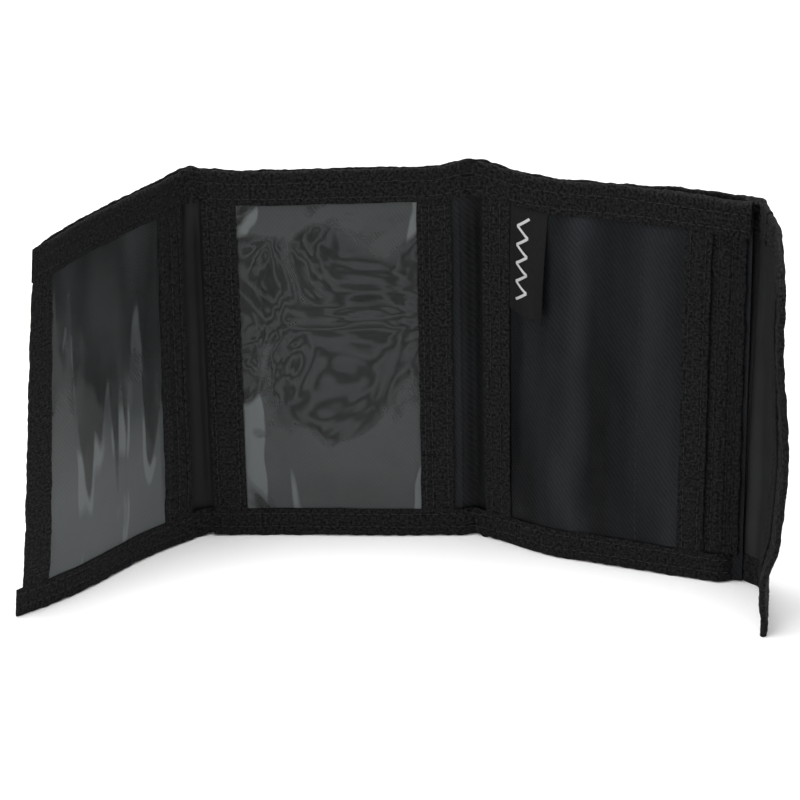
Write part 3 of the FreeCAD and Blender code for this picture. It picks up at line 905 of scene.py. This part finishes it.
def add_binding(edge, part, tape, route, d0, d1, nodes=None, sewn=None):
    """One part of the binding along an edge, with its stitches over the stretch sewn."""
    group, edge, creased = PARTS[part][0], f"{edge}_binding", 1 in tape.faces
    look = tape.width, tape.rows, tape.seed
    piece = binding(f"{edge}_{part}", route, d0, d1, *look, creased=creased)
    inside = d1 - creased * crease(route.line[:, 0])
    for number, row in enumerate(tape.rows):
        for side in tape.faces:
            seed = tape.seed * 10 + number * 2 + (side > 0)
            depth = inside if side > 0 else d0
            threads[group] += route_stitches(route, row, depth, side, seed, sewn)
    settle(piece, group, *(nodes or stood_for(edge, part)))


def over_corner(u):
    """1 where a long binding laps over the tape of the left edge, 0 elsewhere."""
    return ease((EDGE.u1 + 1.5 * MM - u) / (3 * MM))


def tuck(u, end):
    """1 at the loose end of a long binding, where it is folded in."""
    return ease((end + 1.6 * MM - u) / (1.6 * MM))


lap, tail = 0.35 * MM, LEFT_END - 2.2 * MM
route = level_route(LEFT_END - 0.2 * MM, LEFT_SEAM, HEIGHT, -1)
lapped = lap * over_corner(route.line[:, 0])
add_binding("back_top", "left", BACK_TAPE, route, BACK_TOP.d0 - lapped, BACK_TOP.d1)
add_binding("front_top", "left", FRONT_TAPE, route, FRONT_TOP.d0, FRONT_TOP.d1 + lapped)
route = level_route(tail, LEFT_SEAM, 0, 1)
lapped = lap * over_corner(route.line[:, 0])
folded_in = 1.6 * MM * tuck(route.line[:, 0], tail)
d0, d1 = BOTTOM.d0 - lapped + folded_in, BOTTOM.d1 + lapped - folded_in
add_binding("bottom", "left", BOTTOM_TAPE, route, d0, d1)

front_end = span("front_top_binding_right").u1
runs = ("centre", LEFT_SEAM, CUT, CUT), ("right", CUT, RIGHT_MIDDLE, front_end)
for part, u0, u1, front_u1 in runs:
    back, front = level_route(u0, u1, HEIGHT, -1), level_route(u0, front_u1, HEIGHT, -1)
    foot = level_route(u0, u1, 0, 1)
    add_binding("back_top", part, BACK_TAPE, back, BACK_TOP.d0, BACK_TOP.d1)
    add_binding("front_top", part, FRONT_TAPE, front, FRONT_TOP.d0, FRONT_TOP.d1)
    add_binding("bottom", part, BOTTOM_TAPE, foot, BOTTOM.d0, BOTTOM.d1)


def thinned(u, thick):
    """The inside depth of a binding that runs from the panel, thick deep, onto the thin flap."""
    return thick + (FLAP_EDGE.d1 - thick) * ease((u - SIDE.u + 9 * MM) / (7.5 * MM))


def flap_route(u_line, start):
    """The flap's edge over u_line, counted along from start."""
    across = np.clip((u_line - CORNER_U) / CORNER_WIDE, 0, 1)
    turn = np.arccos(across)
    inward = np.stack([-np.cos(turn) / CORNER_WIDE, -np.sin(turn) / CORNER_TALL], -1)
    inward /= np.linalg.norm(inward, axis=1)[:, None]
    route = Route(np.stack([u_line, flap_top(u_line)], -1), inward)
    route.along += start - route.along[0]
    return route


side_u = joined(steps(RIGHT_MIDDLE, CORNER_U, STITCH_STEP), flap_line(CORNER_U, SIDE_MIDDLE))
route = flap_route(side_u, RIGHT_MIDDLE)
flap_start = route.along[-1]
inside, sewn = thinned(side_u, BACK_TOP.d1), (CORNER_U, flap_start)
add_binding("top", "flap_side", FLAP_TOP_TAPE, route, BACK_TOP.d0, inside, sewn=sewn)
route = level_route(RIGHT_MIDDLE, SIDE_MIDDLE, 0, 1)
inside = thinned(route.line[:, 0], BOTTOM.d1)
add_binding("bottom", "flap_side", BOTTOM_TAPE, route, BOTTOM.d0, inside)

# The tip's edge runs round the top corner and then straight down.
turns = np.linspace(math.acos((SIDE_MIDDLE - CORNER_U) / CORNER_WIDE), 0, 90)
bend = flap_route(CORNER_U + CORNER_WIDE * np.cos(turns), flap_start)
down = steps(CORNER_Z, 0, STITCH_STEP)[1:]
line = np.concatenate([bend.line, np.stack([0 * down + FLAP_END, down], -1)])
route = Route(line, np.concatenate([bend.inward, np.tile([-1, 0], (len(down), 1))]))
route.along += flap_start - route.along[0]
nodes = [*stood_for("top_binding", "flap_tip"), "edge_binding_flap_tip"]
add_binding("edge", "flap_tip", FLAP_EDGE_TAPE, route, FLAP_EDGE.d0, FLAP_EDGE.d1, nodes)
route = level_route(SIDE_MIDDLE, span("bottom_binding_flap_tip").u1 + 1.5 * MM, 0, 1)
d0, d1 = FLAP_EDGE.d0 + 0.15 * MM, FLAP_EDGE.d1 - 0.15 * MM
add_binding("bottom", "flap_tip", BOTTOM_TAPE, route, d0, d1)

route = upright_route(LEFT_END, 0.8 * MM, HEIGHT - 0.8 * MM, 1)
sewn = BOTTOM_WIDTH, HEIGHT - TOP_WIDTH
add_binding("edge", "left", LEFT_EDGE_TAPE, route, EDGE.d0, EDGE.d1, sewn=sewn)

# ---- windows, pockets and their tapes


def inset(u, z, lie, margin):
    """1 well inside a piece, falling to 0 at its rim over the margin."""
    sides = ease((u - lie.u0) / margin) * ease((lie.u1 - u) / margin)
    return sides * ease((z - lie.z0) / margin) * ease((lie.z1 - z) / margin)


def opening(name, before, after):
    """The part of a sheet that shows between the tapes that hold its two sides."""
    clear = 0.4 * MM
    u0, u1 = span(before).u1 + clear, span(after).u0 - clear
    return span(name)._replace(u0=u0, u1=u1, z0=BOTTOM.z1 + clear, z1=FRONT_TOP.z0 - clear)


def sunk(u, z, lie):
    """A sheet's drop under the tapes round its opening, clear of their stitches."""
    return -0.3 * MM * (1 - inset(u, z, lie, 1.0 * MM))


def film_relief(lie, seed, slow_by, runs_by, marble_by):
    """Waves in a clear film: slow swells, upright runs, and a marbling of short curls."""

    def relief(u, z):
        slow = ripples(u, z, 32 * MM, seed)
        runs = ripples(u + 2 * MM * slow, 0.16 * z, 11 * MM, seed + 1)
        curl = ripples(u + 6 * MM * slow, z - 7 * MM * slow, 19 * MM, seed + 2)
        raised = slow_by * slow + runs_by * runs + marble_by * curl
        raised = raised + 0.75 * (slow_by + runs_by + marble_by) - 0.1
        return inset(u, z, lie, 7 * MM) * MM * raised + sunk(u, z, lie)

    return relief


POCKET_OPENING = opening("card_pocket_front", "pocket_fold_tape", "pocket_tape_front")
POCKET_HEIGHT = 1.5 * MM


def pocket_relief(u, z):
    """The card pocket's upright folds."""
    wander = ripples(u, z, 40 * MM, 51)
    folds = ripples(u + 3 * MM * wander, 0.12 * z, 17 * MM, 52)
    raised = inset(u, z, POCKET_OPENING, 6 * MM) * POCKET_HEIGHT * (0.55 + 0.5 * folds)
    return raised + sunk(u, z, POCKET_OPENING)


def add_panel(name, material, group, relief=None, fine=CLOTH_STEP):
    lie = span(name)
    u, z = grid(lie, fine)
    piece = cloth(name, u, z, lie, material, relief)
    settle(piece, group, name)


left_opening = opening("window_left", "edge_binding_left", "window_mouth_tape_left")
left_waves = film_relief(left_opening, 33, slow_by=0.25, runs_by=0.24, marble_by=0.05)
add_panel("window_left", HANGING, "left_panel", left_waves, 0.9 * MM)
centre_opening = opening("window_centre", "window_fold_tape_centre", "window_mouth_tape_centre")
centre_waves = film_relief(centre_opening, 41, slow_by=0.35, runs_by=0.05, marble_by=0.26)
add_panel("window_centre", CLINGING, "centre_panel", centre_waves, 0.9 * MM)
add_panel("slip_pocket_centre", TWILL, "centre_panel")
add_panel("card_pocket_back", TWILL, "right_panel")
add_panel("card_pocket_front", TWILL, "right_panel", pocket_relief, MM)


def add_tape(name, group, rows, seed, folded=True):
    """A tape that runs up the wallet: folded round a mouth on its right, or else laid flat."""
    lie = span(name)
    width, height = lie.u1 - lie.u0, lie.z1 - lie.z0
    if folded:
        route = upright_route(lie.u1, lie.z0, lie.z1, -1)
        piece = binding(name, route, lie.d0, lie.d1, width, rows, seed, thick=0.28 * MM)
    else:
        route = upright_route(lie.u0, lie.z0, lie.z1, 1)
        piece = flat_tape(name, lie, rows, seed)
    for number, row in enumerate(rows):
        threads[group] += route_stitches(route, row, lie.d1, 1, seed * 10 + number)
    settle(piece, group, name)


add_tape("window_mouth_tape_left", "left_panel", (1.9 * MM, 5.3 * MM, 9.2 * MM), 61)
add_tape("window_mouth_tape_centre", "centre_panel", (2.0 * MM, 6.9 * MM, 9.0 * MM), 62)
add_tape("pocket_tape_front", "right_panel", (2.0 * MM, 6.9 * MM), 63)
add_tape("pocket_tape_back", "right_panel", (2.2 * MM, 4.3 * MM, 8.6 * MM), 64)
add_tape("window_fold_tape_centre", "centre_panel", (1.8 * MM, 8.6 * MM), 71, folded=False)
add_tape("pocket_fold_tape", "right_panel", (2.6 * MM, 5.8 * MM), 72, folded=False)

# The seam that divides the card pocket, through the cloth.
pocket = span("card_pocket_front")
seam_u = pocket.u0 + 0.70 * (pocket.u1 - pocket.u0)
route = upright_route(seam_u, pocket.z0, pocket.z1, 1)
depth = pocket.d1 + pocket_relief(route.line[:, 0], route.line[:, 1])
threads["right_panel"] += route_stitches(route, 0, depth, 1, 81)

# ---- label

LABEL_LIE = span("woven_label")
LABEL_WIDE, LABEL_TALL = LABEL_LIE.u1 - LABEL_LIE.u0, LABEL_LIE.z1 - LABEL_LIE.z0


def label_relief(u, z):
    """The label curls off the pocket, most at its free corner."""
    across, down = (u - LABEL_LIE.u0) / LABEL_WIDE, (LABEL_LIE.z1 - z) / LABEL_TALL
    curl = down * (0.5 + 2.6 * across**1.5 + 0.5 * np.sin(3 * down))
    return MM * curl + pocket_relief(u, z)


label_steps = steps(LABEL_LIE.u0, LABEL_LIE.u1, 0.6 * MM), steps(0, 1, 0.02)
u, share = np.meshgrid(*label_steps, indexing="ij")
low = LABEL_LIE.z0 + 1.4 * MM * (1 - (u - LABEL_LIE.u0) / LABEL_WIDE)
z = low + (LABEL_LIE.z1 - low) * share
label = cloth("woven_label", u, z, LABEL_LIE, LABEL, label_relief)
settle(label, "right_panel", "woven_label")


def mark_bar(name, start, end):
    """One flat bar of the label's plain mark, from start to end."""
    width, bedded = 0.8 * MM, 0.05 * MM
    (u0, z0), (u1, z1) = start, end
    run = math.hypot(u1 - u0, z1 - z0)
    du, dz = (u1 - u0) / run, (z1 - z0) / run
    lines = np.linspace(0, run, 9), np.linspace(-width / 2, width / 2, 4)
    along, across = np.meshgrid(*lines, indexing="ij")
    u, z = u0 + along * du - across * dz, z0 + along * dz + across * du
    proud = 0.09 * MM * np.sqrt(np.clip(1 - (2 * across / width) ** 4, 0, 1))
    height = LABEL_LIE.d1 + label_relief(u, z)
    face = np.stack([u, height + bedded + proud, z], -1)
    back = np.stack([u, height - bedded, z], -1)
    piece = skin(name, face, back, np.stack([across, along], -1), MARK)
    settle(piece, "right_panel")


MARK_BARS, MARK_HALF, MARK_DROP = 9, 1.9 * MM, 2.9 * MM
mark_u = (LABEL_LIE.u0 + LABEL_LIE.u1) / 2 - 1.6 * MM
mark_top = LABEL_LIE.z1 - 2.6 * MM
for i in range(MARK_BARS):
    reach = MARK_HALF if i % 2 else -MARK_HALF
    z0, z1 = mark_top - i * MARK_DROP, mark_top - (i + 1) * MARK_DROP
    mark_bar(f"label_mark_{i}", (mark_u - reach, z0), (mark_u + reach, z1))

# ---- hook and loop closure


def add_pile(name, material, face_out, group):
    """A strip of fastening with a rough pile, facing out on the shell or in on the lining."""
    lie = span(name)
    u, z = grid(lie, 0.5 * MM)
    pile = 0.10 * MM * ripples(u, z, 1.6 * MM, 77) * inset(u, z, lie, 0.8 * MM)
    rough = pile - 0.3 * MM * (1 - inset(u, z, lie, 0.9 * MM))
    if face_out:
        outer, inner, under = lie.d0 - rough, lie.d1, shell_relief(u, z)
    else:
        outer, inner, under = lie.d1 + rough, lie.d0, lining_relief(u, z)
    face, back = np.stack([u, outer + under, z], -1), np.stack([u, inner + under, z], -1)
    piece = skin(name, face, back, np.stack([u, z], -1), material)
    settle(piece, group, name)


add_pile("closure_hook_strip", HOOKS, True, "centre_panel")
add_pile("closure_loop_strip", LOOPS, False, "flap_tip")

# ---- threads

for group, stitches in threads.items():
    if stitches:
        settle(thread_mesh(f"stitching_{group}", stitches), group)

# ---- floor, light


FLOOR_REACH = 4.0


def make_floor():
    mesh = bpy.data.meshes.new("floor")
    far = FLOOR_REACH
    corners = [(-far, -far, 0), (far, -far, 0), (far, far, 0), (-far, far, 0)]
    mesh.from_pydata(corners, [], [(0, 1, 2, 3)])
    floor = put_in_scene("floor", mesh)
    floor.location.z = -0.1 * MM
    material = bpy.data.materials.new("floor_paint")
    material.use_nodes = True
    nodes, links = material.node_tree.nodes, material.node_tree.links
    shader = nodes["Principled BSDF"]
    fill(shader, {"Roughness": 0.9, "Specular IOR Level": 0.1})
    noise = nodes.new("ShaderNodeTexNoise")
    fill(noise, {"Scale": 3.0})
    mix = nodes.new("ShaderNodeMix")
    mix.data_type = "RGBA"
    fill(mix, {"A": grey(0.88), "B": grey(0.92)})
    coordinates = nodes.new("ShaderNodeTexCoord")
    links.new(coordinates.outputs["Object"], noise.inputs["Vector"])
    links.new(noise.outputs["Fac"], mix.inputs["Factor"])
    links.new(mix.outputs["Result"], shader.inputs["Base Color"])
    mesh.materials.append(material)


def make_light(name, place_at, aim, size, watts):
    data = bpy.data.lights.new(name, "AREA")
    data.shape, data.size, data.size_y = "RECTANGLE", size[0], size[1]
    data.energy = watts
    light = put_in_scene(name, data)
    light.location = place_at
    light.rotation_mode = "QUATERNION"
    light.rotation_quaternion = (Vector(aim) - Vector(place_at)).to_track_quat("-Z", "Y")
    light.visible_camera = False


def make_world():
    """Light that grows from the horizon up, behind a background that the camera sees as white."""
    world = bpy.data.worlds.new("studio")
    scene.world = world
    world.use_nodes = True
    nodes, links = world.node_tree.nodes, world.node_tree.links
    background = nodes["Background"]
    fill(background, {"Strength": 1.0})
    where = nodes.new("ShaderNodeTexCoord")
    split = nodes.new("ShaderNodeSeparateXYZ")
    links.new(where.outputs["Generated"], split.inputs[0])
    height = nodes.new("ShaderNodeMapRange")
    links.new(split.outputs["Z"], height.inputs["Value"])
    fill(height, {"From Min": 0.0, "From Max": 0.55, "To Min": 0.04, "To Max": 0.60})
    path = nodes.new("ShaderNodeLightPath")
    lit = nodes.new("ShaderNodeMix")
    lit.data_type = "RGBA"
    fill(lit, {"B": (1, 1, 1, 1)})
    links.new(path.outputs["Is Camera Ray"], lit.inputs["Factor"])
    links.new(height.outputs[0], lit.inputs["A"])
    links.new(lit.outputs["Result"], background.inputs["Color"])


make_floor()
make_world()
make_light("softbox_key", (-0.55, -0.65, 0.95), aim=(0, 0, 0.04), size=(0.7, 0.5), watts=5)
make_light("softbox_fill", (0.9, -0.55, 0.8), aim=(0, 0, 0.05), size=(0.6, 0.6), watts=1.5)
make_light("softbox_pool", (0.0, 0.06, 0.75), aim=(0, 0.06, 0), size=(0.5, 0.4), watts=7)
scene.view_settings.view_transform = "Standard"
